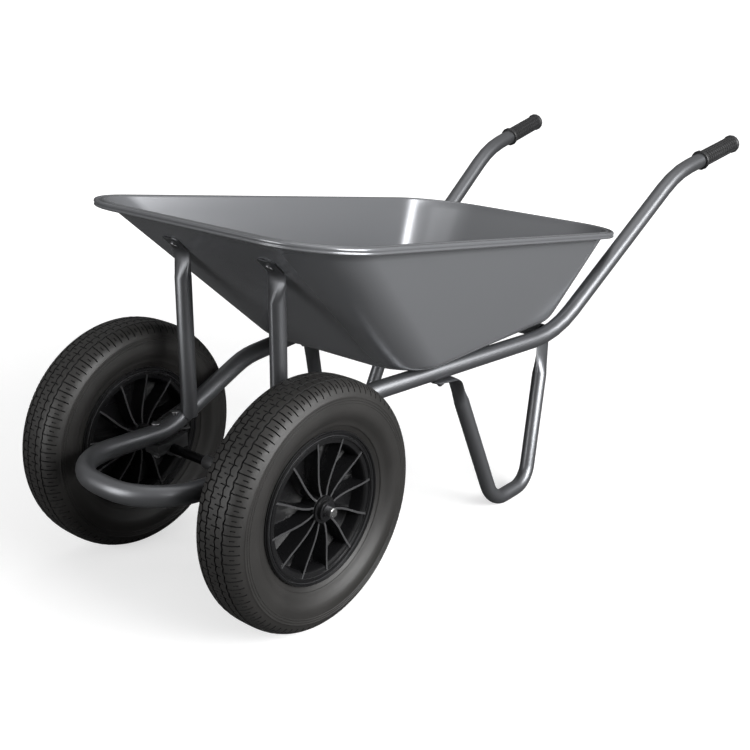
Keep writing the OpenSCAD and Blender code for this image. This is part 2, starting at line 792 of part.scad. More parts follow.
// Inner tube with its valve stem through the rim barrel
tube_gap = 0.5;
tube_skin = 2.5;
valve_d = 11;
valve_out = 16;
valve_bore = 4;
spoke_turn = 5;
valve_share = 0.5;
valve_slot = 16;
valve_angle =spoke_turn + (valve_slot + valve_share) * 180 / spoke_count;
valve_tip = bore_r - valve_out;

// Section of the space inside the tyre, drawn in by g
function tyre_hollow(g) =
    let (in = bead_t - slip_fit - tyre_wall - g,
         half = concat([[seat_r + g, in], [flange_r - flange_round, in],
                        [flange_r + flange_round + tyre_wall / 2, rim_w / 2 - flange_t / 2 - tyre_wall - g]],
                       side_curve(tyre_w - 2 * tyre_wall - 2 * g, tyre_r - tyre_wall - g, tyre_steps / 2)))
    concat([for (p = half) p], [for (i = [len(half) - 2 : -1 : 0]) [half[i][0], -half[i][1]]]);

module valve(d, from, to) {
    rotate(valve_angle) translate([from, 0, 0]) rotate([0, -90, 0]) cylinder(d = d, h = from - to);
}

module inner_tube() {
    difference() {
        union() {
            rotate_extrude() polygon(tyre_hollow(tube_gap));
            valve(valve_d, seat_r + tube_gap + tube_skin, valve_tip);
        }
        rotate_extrude() polygon(tyre_hollow(tube_gap + tube_skin));
        valve(valve_bore, side_r, valve_tip - over);
    }
}

module left_inner_tube() {
    color(colour_rubber) at_axle() on_wheel() inner_tube();
}

module right_inner_tube() {
    color(colour_rubber) at_axle() mirror([0, 1, 0]) on_wheel() inner_tube();
}

// Moulded rim: flanged barrel, hub and thin web with a row of curved blades on each side
hub_t = 6;
bush_flange_t = 3;
bush_flange_d = bush_d + 8;
spoke_bow = 7;
spoke_face = 30;
blade_steps = 6;
web_t = 4;
bush_share = 0.33;
mouth_rim = 12;
mouth_r = flange_r - mouth_rim;
mouth_drop = 1.5;
mouth_w = 3;
ledge_t = 3;
ledge_z = rim_w / 2 - flange_t + ledge_t;
step_drop = 3;
step_w = 4;

// Blade outline in the wheel's plane: a bowed strip from the hub out to the barrel
function blade_mid(k) = let (s = k / blade_steps, r = hub_d / 2 - hub_t / 2 + (bore_r - hub_d / 2 + hub_t) * s)
    [r, spoke_bow * (1 - s) * s * 4 * (1 - s)];
function blade() = concat([for (k = [0 : blade_steps]) blade_mid(k) + [0, spoke_t / 2]],
                          [for (k = [blade_steps : -1 : 0]) blade_mid(k) - [0, spoke_t / 2]]);

module blade_row(turn) {
    for (k = [0 : spoke_count - 1]) rotate(360 * k / spoke_count + turn) {
        linear_extrude(spoke_face) polygon(blade());
        translate([bore_r, -spoke_t / 2, ledge_z - over])
            cube([mouth_r - bore_r + over, spoke_t, spoke_face - ledge_z + over]);
    }
}

module rim() {
    hw = rim_w / 2;
    step_r = mouth_r + mouth_w;
    half = [[bore_r, hw - flange_t - mouth_drop], [bore_r + mouth_w, ledge_z], [mouth_r, ledge_z],
            [mouth_r, hw - mouth_drop], [step_r, hw - mouth_drop],
            [step_r + flange_round / 2, hw - step_drop - flange_round / 2],
            [step_r + step_w, hw - step_drop - flange_round / 2], [step_r + step_w + flange_round / 2, hw],
            [flange_r - flange_round / 2, hw], [flange_r, hw - flange_round],
            [flange_r, hw - flange_t + flange_round],
            [flange_r - flange_round, hw - flange_t], [seat_r, hw - flange_t]];
    core_len = hub_len - 2 * bush_flange_t;
    difference() {
        union() {
            rotate_extrude($fn = 96)
                polygon(concat(half, [for (i = [len(half) - 1 : -1 : 0]) [half[i][0], -half[i][1]]]));
            translate([0, 0, -core_len / 2]) cylinder(d = hub_d, h = core_len);
            blade_row(spoke_turn);
            mirror([0, 0, 1]) blade_row(spoke_turn + 180 / spoke_count);
            translate([0, 0, -web_t / 2]) cylinder(r = bore_r + over, h = web_t);
        }
        translate([0, 0, -hub_len]) cylinder(d = bush_d, h = 2 * hub_len);
        valve(valve_d + 2 * hole_fit, seat_r + over, valve_tip);
    }
}

module left_rim() {
    color(colour_plastic) at_axle() on_wheel() rim();
}

module right_rim() {
    color(colour_plastic) at_axle() mirror([0, 1, 0]) on_wheel() rim();
}

// Flanged bushes pressed into both ends of the hub
module bushes() {
    bush_len = hub_len * bush_share;
    for (m = [0, 1]) mirror([0, 0, m]) difference() {
        union() {
            translate([0, 0, hub_len / 2 - bush_flange_t]) cylinder(d = bush_flange_d, h = bush_flange_t);
            translate([0, 0, hub_len / 2 - bush_len]) cylinder(d = bush_d - 2 * run_fit, h = bush_len);
        }
        translate([0, 0, -over]) cylinder(d = axle_d + 2 * run_fit, h = hub_len);
    }
}

module left_bushes() {
    color(colour_zinc) at_axle() on_wheel() bushes();
}

module right_bushes() {
    color(colour_zinc) at_axle() mirror([0, 1, 0]) on_wheel() bushes();
}

tray();
left_side_tube();
right_side_tube();
nose_loop();
left_stay();
right_stay();
left_leg();
right_leg();
leg_cross_tube();
axle();
axle_coupling();
left_axle_saddle();
right_axle_saddle();
left_axle_strap();
right_axle_strap();
left_spacer();
right_spacer();
axle_washers();
axle_circlips();
axle_bolts();
axle_nuts();
stay_bolts();
stay_nuts();
leg_bolts();
leg_nuts();
cross_bolts();
cross_nuts();
left_grip();
right_grip();
left_tyre();
left_inner_tube();
left_rim();
left_bushes();
right_tyre();
right_inner_tube();
right_rim();
right_bushes();
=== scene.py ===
import json
import math

import bmesh
import bpy
from mathutils import Matrix, Vector

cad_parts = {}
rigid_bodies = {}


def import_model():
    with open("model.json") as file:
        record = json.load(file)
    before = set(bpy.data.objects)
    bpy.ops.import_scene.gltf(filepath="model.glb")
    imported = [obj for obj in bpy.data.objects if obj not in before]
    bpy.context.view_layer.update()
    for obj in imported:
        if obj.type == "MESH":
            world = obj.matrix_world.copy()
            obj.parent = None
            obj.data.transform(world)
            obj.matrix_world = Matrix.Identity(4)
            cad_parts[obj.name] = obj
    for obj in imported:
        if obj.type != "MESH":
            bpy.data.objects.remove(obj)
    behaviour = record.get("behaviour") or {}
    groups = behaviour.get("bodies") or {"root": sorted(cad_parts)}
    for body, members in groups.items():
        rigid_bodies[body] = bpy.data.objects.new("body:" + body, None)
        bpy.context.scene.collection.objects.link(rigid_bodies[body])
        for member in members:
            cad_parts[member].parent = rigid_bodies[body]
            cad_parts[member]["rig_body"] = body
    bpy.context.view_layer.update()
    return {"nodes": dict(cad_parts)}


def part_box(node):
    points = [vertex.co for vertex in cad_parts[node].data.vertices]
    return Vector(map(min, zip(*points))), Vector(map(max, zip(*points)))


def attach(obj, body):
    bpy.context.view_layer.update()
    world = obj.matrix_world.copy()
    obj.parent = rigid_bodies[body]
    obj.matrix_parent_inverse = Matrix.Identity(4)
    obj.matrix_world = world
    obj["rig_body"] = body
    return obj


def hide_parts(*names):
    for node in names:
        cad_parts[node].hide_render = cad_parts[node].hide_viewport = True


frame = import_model()
nodes = frame["nodes"]

# The photographer's camera stands ahead of the barrow on its left, a little above the tray, and is
# level to within a degree. Its place along the barrow is given from the axle.
AXLE_X = sum(corner[0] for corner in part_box("axle")) / 2
AXLE_Z = sum(corner[2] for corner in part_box("axle")) / 2
CAMERA_AT = Vector((AXLE_X + 1.12251, 1.26272, 0.97218))
CAMERA_LOOK = Vector((-0.72443, -0.59686, -0.34490)).normalized()
CAMERA_ROLL = math.radians(0.76)
SENSOR = 36.0
FOCAL_SHARE = 1126.92 / 750
FARTHEST = 50.0


def into_studio(name, data):
    """A new object at the origin, linked to the scene."""
    thing = bpy.data.objects.new(name, data)
    bpy.context.scene.collection.objects.link(thing)
    return thing


camera_data = bpy.data.cameras.new("photo_camera")
camera_data.sensor_fit = "HORIZONTAL"
camera_data.sensor_width = SENSOR
camera_data.lens = SENSOR * FOCAL_SHARE
camera_data.clip_end = FARTHEST
camera = into_studio("photo_camera", camera_data)
level_right = CAMERA_LOOK.cross(Vector((0, 0, 1))).normalized()
level_up = level_right.cross(CAMERA_LOOK)
right = level_right * math.cos(CAMERA_ROLL) + level_up * math.sin(CAMERA_ROLL)
up = level_up * math.cos(CAMERA_ROLL) - level_right * math.sin(CAMERA_ROLL)
camera.matrix_world = Matrix((right, up, -CAMERA_LOOK)).transposed().to_4x4()
camera.location = CAMERA_AT
bpy.context.scene.camera = camera

# The studio floor is plain and pale and fades to white away from the barrow. The camera sees it pale,
# while the barrow is lit and mirrored by a grey one, as in a cut-out photograph.
STUDIO_HALF = 40.0
WHITE = (1.0, 1.0, 1.0, 1)
FLOOR_PALE = (0.55, 0.55, 0.55, 1)
FLOOR_ROUGH = 0.9
FADE_FROM, FADE_TO = 0.9, 2.6
GLOW_NEAR, GLOW_FAR = 0.6, 1.0
FLOOR_GREY, FLOOR_MIRRORED = 0.17, 0.1


def feed(tree, node, sockets):
    """Give a node's inputs their values, or link them to the outputs that feed them."""
    for socket, given in sockets.items():
        if isinstance(given, bpy.types.NodeSocket):
            tree.links.new(given, node.inputs[socket])
        else:
            node.inputs[socket].default_value = given


def shader_node(tree, kind, sockets, **options):
    """Add one node to a tree, with its options set and its inputs fed."""
    made = tree.nodes.new(kind)
    for option, choice in options.items():
        setattr(made, option, choice)
    feed(tree, made, sockets)
    return made


def fresh_material(name):
    """A new material and its Principled shader."""
    look = bpy.data.materials.new(name)
    look.use_nodes = True
    return look, look.node_tree.nodes["Principled BSDF"]


floor_shape = bmesh.new()
bmesh.ops.create_grid(floor_shape, x_segments=1, y_segments=1, size=STUDIO_HALF)
floor_mesh = bpy.data.meshes.new("studio_floor")
floor_shape.to_mesh(floor_mesh)
floor_shape.free()
floor = into_studio("studio_floor", floor_mesh)
floor_look, pale = fresh_material("studio_floor")
ground = floor_look.node_tree
spot = shader_node(ground, "ShaderNodeTexCoord", {})
reach = shader_node(ground, "ShaderNodeVectorMath", {0: spot.outputs["Object"]}, operation="LENGTH")
glow = shader_node(ground, "ShaderNodeMapRange", {
    "Value": reach.outputs["Value"], "From Min": FADE_FROM, "From Max": FADE_TO, "To Min": GLOW_NEAR,
    "To Max": GLOW_FAR})
feed(ground, pale, {
    "Base Color": FLOOR_PALE, "Roughness": FLOOR_ROUGH, "Specular IOR Level": 0.0, "Emission Color": WHITE,
    "Emission Strength": glow.outputs["Result"]})
ray = shader_node(ground, "ShaderNodeLightPath", {})
shade = shader_node(ground, "ShaderNodeMapRange", {
    "Value": ray.outputs["Is Glossy Ray"], "To Min": FLOOR_GREY, "To Max": FLOOR_MIRRORED})
grey = shader_node(ground, "ShaderNodeBsdfDiffuse", {"Color": shade.outputs["Result"]})
either = shader_node(ground, "ShaderNodeMixShader", {
    "Fac": ray.outputs["Is Camera Ray"], 1: grey.outputs["BSDF"], 2: pale.outputs["BSDF"]})
feed(ground, ground.nodes["Material Output"], {"Surface": either.outputs["Shader"]})
floor_mesh.materials.append(floor_look)

# The sky is a soft dome of light, dim at the horizon and bright overhead, which fills the shadows. The
# camera sees plain white in its place.
SKY_POWER = 0.42
SKY_STOPS = ((0.05, (0.22, 0.22, 0.225, 1)), (0.85, WHITE))

sky = bpy.data.worlds.new("studio_sky")
bpy.context.scene.world = sky
sky.use_nodes = True
air = sky.node_tree
way = shader_node(air, "ShaderNodeTexCoord", {})
parts = shader_node(air, "ShaderNodeSeparateXYZ", {"Vector": way.outputs["Generated"]})
rise = shader_node(air, "ShaderNodeValToRGB", {"Fac": parts.outputs["Z"]})
for stop, (position, colour) in zip(rise.color_ramp.elements, SKY_STOPS):
    stop.position = position
    stop.color = colour
dome = air.nodes["Background"]
feed(air, dome, {"Color": rise.outputs["Color"], "Strength": SKY_POWER})
backdrop = shader_node(air, "ShaderNodeBackground", {"Color": WHITE, "Strength": 1.0})
ray = shader_node(air, "ShaderNodeLightPath", {})
either = shader_node(air, "ShaderNodeMixShader", {
    "Fac": ray.outputs["Is Camera Ray"], 1: dome.outputs["Background"], 2: backdrop.outputs["Background"]})
feed(air, air.nodes["World Output"], {"Surface": either.outputs["Shader"]})
bpy.context.scene.view_settings.view_transform = "Standard"


# Four soft windows light the barrow: a large one on the camera's right, a narrow one behind it for the
# gleam in the tray's far corner, and weak ones on the left and above.
def soft_window(name, at, aim, wide, tall, power):
    """A rectangular area light that faces aim."""
    data = bpy.data.lights.new(name, "AREA")
    data.shape = "RECTANGLE"
    data.size = wide
    data.size_y = tall
    data.energy = power
    window = into_studio(name, data)
    window.location = at
    window.rotation_euler = (Vector(aim) - Vector(at)).to_track_quat("-Z", "Y").to_euler()


soft_window("key_window", (0.0, 3.3, 1.5), (-0.1, 0.0, 0.4), 2.4, 1.7, 195)
soft_window("rear_window", (-1.7, 2.95, 2.25), (-0.3, -0.25, 0.42), 0.75, 1.1, 35)
soft_window("left_window", (2.8, -0.7, 0.9), (0.2, 0.0, 0.35), 1.4, 1.4, 30)
soft_window("top_window", (-0.2, 0.3, 3.4), (-0.1, 0.0, 0.3), 2.4, 2.4, 16)

# The tray is one sheet of steel, deep drawn with rounded corners, its lip rolled out and down all round,
# and sprayed in a satin dark grey metallic paint. It is bolted to the stays, the legs and the cross tube.
MM = 1000
RIM_FRONT, RIM_BACK = 47.0, 916.0
RIM_HALF_FRONT, RIM_HALF_REAR = 282.0, 258.0
RIM_R_FRONT, RIM_R_REAR = 118.0, 135.0
RIM_Z_FRONT, RIM_Z_REAR = 612.0, 471.0
LIP_W = 16.0
FLOOR_FRONT, FLOOR_BACK, FLOOR_HALF, FLOOR_R = 276.0, 768.0, 189.915, 88.0
FLOOR_Z = 314.0
END_ROUND, SIDE_ROUND = 40.0, 22.0
SHEET = 1.5
# Where the outside and the inside of the wall meet the lip, in mm down from the rim
WALL_TOP_OUT, WALL_TOP_IN = 4.2, 3.2
CORNER_STEPS = 20
ROUND_STEPS = 8
SIDE_SHARES = (0.02, 0.25, 0.5, 0.75, 0.98)
WALL_SHARES = (0.1, 0.5, 0.9)
NO_CREASE = 180
# Section of the rolled edge in mm outward from the wall and down from the rim: under the lip, up its
# outer face with a crease, over the outer bead, and through the groove to the inner crest
rolled_edge = [(0.9, 4.3), (2.0, 4.4), (4.0, 4.5), (8.8, 4.7), (10.6, 6.2), (11.2, 9.8), (12.0, 11.4),
               (13.2, 12.0), (14.8, 11.6), (16.2, 10.7), (16.8, 9.6), (16.5, 8.6), (15.8, 7.8), (15.7, 6.6),
               (16.5, 5.4), (16.8, 4.0), (16.2, 2.2), (15.0, 0.9), (13.4, 0.2), (11.8, 0.1), (10.4, 0.6),
               (9.6, 1.6), (8.8, 2.6), (7.6, 3.1), (6.4, 2.7), (5.6, 1.6), (4.8, 0.6), (3.4, 0.1), (1.6, 0.1),
               (0.2, 0.5), (-0.9, 1.6)]
PAINT_MOTTLE, PAINT_DETAIL = 30.0, 3.0
DUST_SHARE, GLOSS_SPREAD = 0.06, 0.03
DUST = (0.20, 0.20, 0.20, 1)
LACQUER, LACQUER_ROUGH = 0.15, 0.22


def effect_group(name, inputs, outputs):
    """An empty node group with named sockets: the group, what it is given, and its output node."""
    group = bpy.data.node_groups.new(name, "ShaderNodeTree")
    for direction, sockets in (("INPUT", inputs), ("OUTPUT", outputs)):
        for socket, kind in sockets.items():
            group.interface.new_socket(socket, in_out=direction, socket_type="NodeSocket" + kind)
    given = group.nodes.new("NodeGroupInput").outputs
    return group, given, group.nodes.new("NodeGroupOutput")


def noise_field(tree, scale, detail):
    """The value of a noise that is fixed to the piece."""
    place = shader_node(tree, "ShaderNodeTexCoord", {})
    noise = shader_node(tree, "ShaderNodeTexNoise", {
        "Vector": place.outputs["Object"], "Scale": scale, "Detail": detail})
    return noise.outputs["Fac"]


def satin_paint_group():
    """Satin paint: a fine mottle of tone, dust and gloss, as a sprayed and handled coat has."""
    group, given, out = effect_group("satin_paint", {"Color": "Color", "Dust": "Color", "Satin": "Float"},
                                     {"Color": "Color", "Roughness": "Float"})
    mottle = noise_field(group, PAINT_MOTTLE, PAINT_DETAIL)
    settle = shader_node(group, "ShaderNodeMath", {0: mottle, 1: DUST_SHARE}, operation="MULTIPLY")
    dusty = shader_node(group, "ShaderNodeMix", {
        "Factor": settle.outputs["Value"], 6: given["Color"], 7: given["Dust"]}, data_type="RGBA")
    rough = shader_node(group, "ShaderNodeMath", {0: mottle, 1: GLOSS_SPREAD, 2: given["Satin"]},
                        operation="MULTIPLY_ADD")
    feed(group, out, {"Color": dusty.outputs[2], "Roughness": rough.outputs["Value"]})
    return group


satin_paint = satin_paint_group()


def painted_steel(name, colour, metallic, satin):
    """Satin metallic paint of one colour under a thin lacquer."""
    look, shader = fresh_material(name)
    tree = look.node_tree
    coat = shader_node(tree, "ShaderNodeGroup", {"Color": (*colour, 1), "Dust": DUST, "Satin": satin},
                       node_tree=satin_paint)
    feed(tree, shader, {
        "Base Color": coat.outputs["Color"], "Roughness": coat.outputs["Roughness"], "Metallic": metallic,
        "Coat Weight": LACQUER, "Coat Roughness": LACQUER_ROUGH})
    return look


def place_piece(shape, name, looks, node, crease):
    """Let a finished shape stand for a node, smooth but for edges that turn by more than crease degrees."""
    for face in shape.faces:
        face.smooth = True
    for edge in shape.edges:
        edge.smooth = len(edge.link_faces) == 2 and edge.calc_face_angle(0.0) < math.radians(crease)
    mesh = bpy.data.meshes.new(name)
    shape.to_mesh(mesh)
    shape.free()
    for look in looks:
        mesh.materials.append(look)
    piece = into_studio(name, mesh)
    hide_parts(node)
    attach(piece, nodes[node]["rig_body"])


def rounded_plan(front, back, half_front, half_rear, r_front, r_rear, in_x, in_y):
    """A four-sided outline with round corners, drawn in lengthwise and sideways, with points on its sides."""
    corners = ((front - r_front, half_front - r_front, r_front), (-back + r_rear, half_rear - r_rear, r_rear),
               (-back + r_rear, r_rear - half_rear, r_rear), (front - r_front, r_front - half_front, r_front))
    outline = []
    for quarter, (x, y, r) in enumerate(corners):
        for k in range(CORNER_STEPS + 1):
            turn = math.pi / 2 * (quarter + k / CORNER_STEPS)
            outline.append(Vector((x + (r - in_x) * math.cos(turn), y + (r - in_y) * math.sin(turn))))
    points = []
    for i, p in enumerate(outline):
        points.append(p)
        if i % (CORNER_STEPS + 1) == CORNER_STEPS:
            follows = outline[(i + 1) % len(outline)]
            points += [p.lerp(follows, share) for share in SIDE_SHARES]
    return points


def rim_ring(out, drop):
    """The rim's outline, out from the wall and down from the rim's slanting plane."""
    ring = rounded_plan(RIM_FRONT - LIP_W, RIM_BACK - LIP_W, RIM_HALF_FRONT - LIP_W, RIM_HALF_REAR - LIP_W,
                        RIM_R_FRONT - LIP_W, RIM_R_REAR - LIP_W, -out, -out)
    slope = (RIM_Z_FRONT - RIM_Z_REAR) / (RIM_FRONT + RIM_BACK)
    return [Vector((p.x, p.y, RIM_Z_REAR + slope * (p.x + RIM_BACK) - drop)) for p in ring]


def floor_ring(in_x, in_y, z):
    """An outline on the floor, drawn in lengthwise and sideways."""
    ring = rounded_plan(-FLOOR_FRONT, FLOOR_BACK, FLOOR_HALF, FLOOR_HALF, FLOOR_R, FLOOR_R, in_x, in_y)
    return [Vector((p.x, p.y, z)) for p in ring]


def wall_rings(floor_in, z, top):
    """Rings up one face of the sheet: the floor's edge, its rounded foot, and the raked wall to the top."""
    foot = floor_ring(floor_in, floor_in, z)
    edge = floor_ring(floor_in + END_ROUND, floor_in + SIDE_ROUND, z)
    rings = []
    for k in range(ROUND_STEPS + 1):
        s = k / ROUND_STEPS
        rings.append([
            a * (1 - s) ** 2 + f * 2 * s * (1 - s) + (f + (t - f).normalized() * (a - f).length) * s * s
            for a, f, t in zip(edge, foot, top)])
    for share in WALL_SHARES:
        rings.append([a.lerp(t, share) for a, t in zip(rings[ROUND_STEPS], top)])
    return rings + [top]


def pressed_tray():
    """The tray as one sheet drawn out ring by ring: outside wall, rolled edge, inside wall."""
    tray = bmesh.new()
    rings = wall_rings(0.0, FLOOR_Z, rim_ring(0.0, WALL_TOP_OUT))
    rings += [rim_ring(out, drop) for out, drop in rolled_edge]
    rings += reversed(wall_rings(SHEET, FLOOR_Z + SHEET, rim_ring(-SHEET, WALL_TOP_IN)))
    drawn = [tray.verts.new(p / MM) for p in rings[0]]
    tray.faces.new(drawn)
    loop = list(tray.edges)
    for ring in rings[1:]:
        made = bmesh.ops.extrude_edge_only(tray, edges=loop)["geom"]
        loop = [e for e in made if isinstance(e, bmesh.types.BMEdge) and all(v not in drawn for v in e.verts)]
        raised = {v for e in loop for v in e.verts}
        # Each new point lies over the one that it was drawn from.
        lifted = []
        for v, p in zip(drawn, ring):
            over = next(w for w in (e.other_vert(v) for e in v.link_edges) if w in raised)
            over.co = p / MM
            lifted.append(over)
        drawn = lifted
    tray.faces.new(drawn)
    bmesh.ops.recalc_face_normals(tray, faces=tray.faces)
    bmesh.ops.translate(tray, verts=tray.verts, vec=(AXLE_X, 0, 0))
    place_piece(tray, "pressed_tray", [tray_paint], "tray", NO_CREASE)


tray_paint = painted_steel("tray_paint", (0.215, 0.22, 0.232), 0.5, 0.24)
pressed_tray()

# The frame is bent from round steel tube in a paint like the tray's: two side tubes that end in the
# handles, the nose loop between them, and two stays, two legs and a cross tube with flattened ends.
WELD, SLIVER = 0.00002, 0.00001
FLAT = 1
BEVEL_STEPS = 2
TUBE_CREASE = 40


def welded_skin(node, look, crease, edge_round=0.0):
    """A node's own surface as one welded piece, with its sharp edges rounded where edge_round is given."""
    skin = bmesh.new()
    skin.from_mesh(nodes[node].data)
    bmesh.ops.remove_doubles(skin, verts=skin.verts, dist=WELD)
    bmesh.ops.dissolve_degenerate(skin, edges=skin.edges, dist=SLIVER)
    if edge_round:
        bmesh.ops.dissolve_limit(skin, angle_limit=math.radians(FLAT), verts=skin.verts, edges=skin.edges)
        sharp = [edge for edge in skin.edges
                 if len(edge.link_faces) == 2 and edge.calc_face_angle(0.0) > math.radians(crease)]
        bmesh.ops.bevel(skin, geom=sharp, offset=edge_round, offset_type="OFFSET", segments=BEVEL_STEPS,
                        profile=0.5, affect="EDGES", clamp_overlap=True, material=-1)
    place_piece(skin, node + "_skin", [look], node, crease)


frame_paint = painted_steel("frame_paint", (0.165, 0.169, 0.178), 0.85, 0.39)
for tube in ("left_side_tube", "right_side_tube", "nose_loop", "left_stay", "right_stay", "left_leg",
             "right_leg", "leg_cross_tube"):
    welded_skin(tube, frame_paint, TUBE_CREASE)

# Saddles and straps clamp the axle under the nose loop, and a coupling joins it in the middle. They are
# pressed and turned steel in a darker paint, with edges broken by deburring.
EDGE_CREASE = 35
CLAMP_ROUND = 0.0006

clamp_paint = painted_steel("clamp_paint", (0.06, 0.061, 0.063), 0.5, 0.32)
for clamp in ("axle_coupling", "left_axle_saddle", "right_axle_saddle", "left_axle_strap",
              "right_axle_strap"):
    welded_skin(clamp, clamp_paint, EDGE_CREASE, CLAMP_ROUND)

# Bolts, nuts and the spacer sleeves beside the wheels are steel with a dull zinc plate; the washers and
# circlips that hold the wheels on the axle are blackened steel.
BOLT_ROUND = 0.0004
HAZE, HAZE_DETAIL = 180.0, 5.0
HAZE_TONE, HAZE_GLOSS = (0.72, 1.0), (0.8, 1.3)


def spread(tree, value, to, given=(0.0, 1.0)):
    """A value taken from one range to another and held within it."""
    made = shader_node(tree, "ShaderNodeMapRange", {
        "Value": value, "From Min": given[0], "From Max": given[1], "To Min": to[0], "To Max": to[1]})
    return made.outputs["Result"]


def tone_and_gloss(group, given, tone, gloss):
    """The group's given colour and roughness, each multiplied by its own field."""
    shaded = shader_node(group, "ShaderNodeVectorMath", {0: given["Color"], "Scale": tone},
                         operation="SCALE")
    rough = shader_node(group, "ShaderNodeMath", {0: given["Roughness"], 1: gloss}, operation="MULTIPLY")
    return {"Color": shaded.outputs["Vector"], "Roughness": rough.outputs["Value"]}


def plated_skin_group():
    """Plated steel: a faint cloudy haze in its tone and gloss."""
    sockets = {"Color": "Color", "Roughness": "Float"}
    group, given, out = effect_group("plated_skin", sockets, sockets)
    haze = noise_field(group, HAZE, HAZE_DETAIL)
    feed(group, out, tone_and_gloss(group, given, spread(group, haze, HAZE_TONE),
                                    spread(group, haze, HAZE_GLOSS)))
    return group


plated_skin = plated_skin_group()


def plated_steel(name, colour, rough):
    """Bright or blackened steel with a hazy plate."""
    look, shader = fresh_material(name)
    tree = look.node_tree
    plate = shader_node(tree, "ShaderNodeGroup", {"Color": (*colour, 1), "Roughness": rough},
                        node_tree=plated_skin)
    feed(tree, shader, {
        "Base Color": plate.outputs["Color"], "Roughness": plate.outputs["Roughness"], "Metallic": 1.0})
    return look


dull_zinc = plated_steel("dull_zinc", (0.42, 0.42, 0.43), 0.34)
for fastener in ("axle_bolts", "axle_nuts", "stay_bolts", "stay_nuts", "leg_bolts", "leg_nuts",
                 "cross_bolts", "cross_nuts", "left_spacer", "right_spacer"):
    welded_skin(fastener, dull_zinc, EDGE_CREASE, BOLT_ROUND)
black_oxide = plated_steel("black_oxide", (0.09, 0.09, 0.095), 0.36)
for keeper in ("axle_washers", "axle_circlips"):
    welded_skin(keeper, black_oxide, EDGE_CREASE)

# The axle is one turned steel rod that doesn't turn. It was painted dark together with the frame, so it
# is bright only at the ends, where the wheels run and the circlips sit in their grooves.
PAINTED_HALF = 0.235
AXLE_PAINT = (0.02, 0.02, 0.021)


def along_axle(tree, steps):
    """A value worked out from the place along the axle, in simple steps."""
    place = shader_node(tree, "ShaderNodeTexCoord", {})
    parts = shader_node(tree, "ShaderNodeSeparateXYZ", {"Vector": place.outputs["Object"]})
    value = parts.outputs["Y"]
    for operation, amount in steps:
        step = shader_node(tree, "ShaderNodeMath", {0: value, 1: amount}, operation=operation)
        value = step.outputs["Value"]
    return value


def lay_over(look, mask, colour):
    """Lay another colour over a material's own where the mask is one."""
    tree = look.node_tree
    shader = tree.nodes["Principled BSDF"]
    own = shader.inputs["Base Color"].links[0].from_socket
    mixed = shader_node(tree, "ShaderNodeMix", {"Factor": mask, 6: own, 7: (*colour, 1)}, data_type="RGBA")
    feed(tree, shader, {"Base Color": mixed.outputs[2]})


axle_steel = plated_steel("axle_steel", (0.66, 0.66, 0.66), 0.24)
painted = along_axle(axle_steel.node_tree, (("ABSOLUTE", 0.0), ("LESS_THAN", PAINTED_HALF)))
lay_over(axle_steel, painted, AXLE_PAINT)
welded_skin("axle", axle_steel, EDGE_CREASE)

# Each tyre is moulded black rubber: a tread of ribs parted by four zigzag grooves, cut across by slits,
# with notches round both shoulders, three fine rings on the wall and another beside the rim.
WHEEL_Y = 0.21
# In mm: half the width, the radius where it is widest, the height of the crown over that, and its fullness
TYRE_HALF_W, SIDE_R, CROWN_H, FULLNESS = 47.0, 152.0, 48.0, 0.62
PITCHES = 84
PITCH = math.tau / PITCHES
# Shares of one pitch: where notches and slits lie, and where the grooves swing to and fro
NOTCH, SLIT = (0.16, 0.30), (0.66, 0.79)
SWING_IN, SWING_OUT = (0.1, 0.35), (0.6, 0.85)
ZIGZAG = 0.0009
# Grooves and cuts in mm from the middle plane, and the radii outside which each kind is looked for
OUTER_GROOVE, INNER_GROOVE = (23.6, 21.0), (10.7, 8.1)
GROOVE_DEEP, GROOVE_LEAN = 4.2, 0.6
GROOVED_HALF, GROOVE_SEEN = 24.5, 1.5
SHOULDER_CUT, RIB_CUTS, EDGE_CUT = (30, 42.8), ((12, 19.5), (32.5, 38.5)), (24.5, 30)
RIGHT_CUT, LEFT_CUT = (-7, 0), (0, 7)
SHOULDER_R, TREAD_R, CROWN_R = 178, 190, 196
NOTCH_DEEP, SLIT_DEEP, CUT_LEAN = 0.0034, 0.0022, 0.0003
TYRE_CREASE = 38
RINGS, RING_DRAFT = (167.5, 171.5, 175.5), 0.08
PATCH, PATCH_DETAIL, GRAIN_DETAIL = 14.0, 5.0, 3.0
SPECK_SHARE = 0.4
PATCH_RANGE, PATCH_TONE, PATCH_GLOSS = (0.3, 0.75), (0.75, 1.3), (0.85, 1.15)
GRAIN_STRENGTH = 0.25


def moulded_skin_group():
    """Moulded rubber or plastic: soft patches of tone and gloss, and a grain as specks and as a height."""
    group, given, out = effect_group(
        "moulded_skin", {"Color": "Color", "Roughness": "Float", "Grain": "Float"},
        {"Color": "Color", "Roughness": "Float", "Height": "Float"})
    grain = noise_field(group, given["Grain"], GRAIN_DETAIL)
    patch = noise_field(group, PATCH, PATCH_DETAIL)
    speck = shader_node(group, "ShaderNodeMix", {"Factor": SPECK_SHARE, "A": patch, "B": grain})
    tone = spread(group, speck.outputs["Result"], PATCH_TONE, PATCH_RANGE)
    feed(group, out, tone_and_gloss(group, given, tone, spread(group, patch, PATCH_GLOSS)))
    feed(group, out, {"Height": grain})
    return group


moulded_skin = moulded_skin_group()


